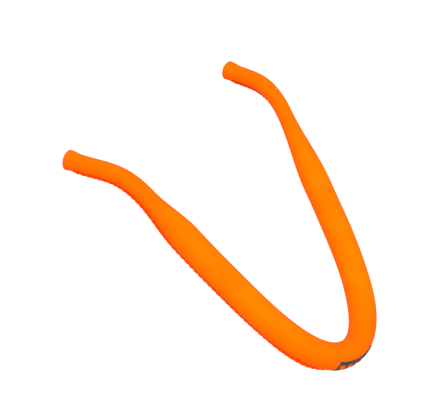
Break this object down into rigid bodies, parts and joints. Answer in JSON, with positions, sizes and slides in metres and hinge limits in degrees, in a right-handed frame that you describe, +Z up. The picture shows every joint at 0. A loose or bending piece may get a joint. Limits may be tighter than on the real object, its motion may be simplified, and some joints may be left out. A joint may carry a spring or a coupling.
{
  "type": "eyeglass retainer strap",
  "caption": "Floating neoprene eyewear retainer: a foam-cored strap in a U loop with a narrow open sleeve at each end for the spectacle temples.",
  "frame": {"origin": "midway between the centres of the two sleeve mouths, where the spectacle temples enter", "axes": "+X to the wearer's left, +Y from the mouths back to the loop, +Z up"},
  "size_m": [0.1258, 0.1181, 0.0981],
  "materials": {
    "neoprene": "bright orange jersey-faced neoprene, matt",
    "foam": "off-white closed-cell foam",
    "seam_thread": "orange textured polyester overlock thread",
    "needle_thread": "red-orange polyester sewing thread",
    "badge_print": "dark charcoal screen-printed film, satin"
  },
  "bodies": {
    "back": {"back_cover": "neoprene", "back_float_core": "foam", "back_overlock": "seam_thread", "back_needle_thread": "needle_thread", "back_badge": "badge_print"},
    "left_leg": {"left_leg_cover": "neoprene", "left_leg_float_core": "foam", "left_leg_overlock": "seam_thread", "left_leg_needle_thread": "needle_thread"},
    "left_sleeve": {"left_sleeve_cover": "neoprene", "left_sleeve_overlock": "seam_thread", "left_sleeve_needle_thread": "needle_thread"},
    "right_leg": {"right_leg_cover": "neoprene", "right_leg_float_core": "foam", "right_leg_overlock": "seam_thread", "right_leg_needle_thread": "needle_thread"},
    "right_sleeve": {"right_sleeve_cover": "neoprene", "right_sleeve_overlock": "seam_thread", "right_sleeve_needle_thread": "needle_thread"}
  },
  "joints": [
    {"name": "left_leg_flex", "type": "hinge", "parent": "back", "child": "left_leg", "pos_m": [0.02051, 0.1032, -0.07811], "axis": [0, 0.723, 0.6909], "range_deg": [-18, 35], "stiffness_Nm_per_rad": 0.03},
    {"name": "right_leg_flex", "type": "hinge", "parent": "back", "child": "right_leg", "pos_m": [-0.02051, 0.1032, -0.07811], "axis": [0, -0.723, -0.6909], "range_deg": [-18, 35], "stiffness_Nm_per_rad": 0.03},
    {"name": "left_sleeve_flex", "type": "hinge", "parent": "left_leg", "child": "left_sleeve", "pos_m": [0.05288, 0.03287, -0.00527], "axis": [-1, 0, 0], "range_deg": [-40, 45], "stiffness_Nm_per_rad": 0.005},
    {"name": "right_sleeve_flex", "type": "hinge", "parent": "right_leg", "child": "right_sleeve", "pos_m": [-0.05288, 0.03287, -0.00527], "axis": [-1, 0, 0], "range_deg": [-40, 45], "stiffness_Nm_per_rad": 0.005}
  ]
}
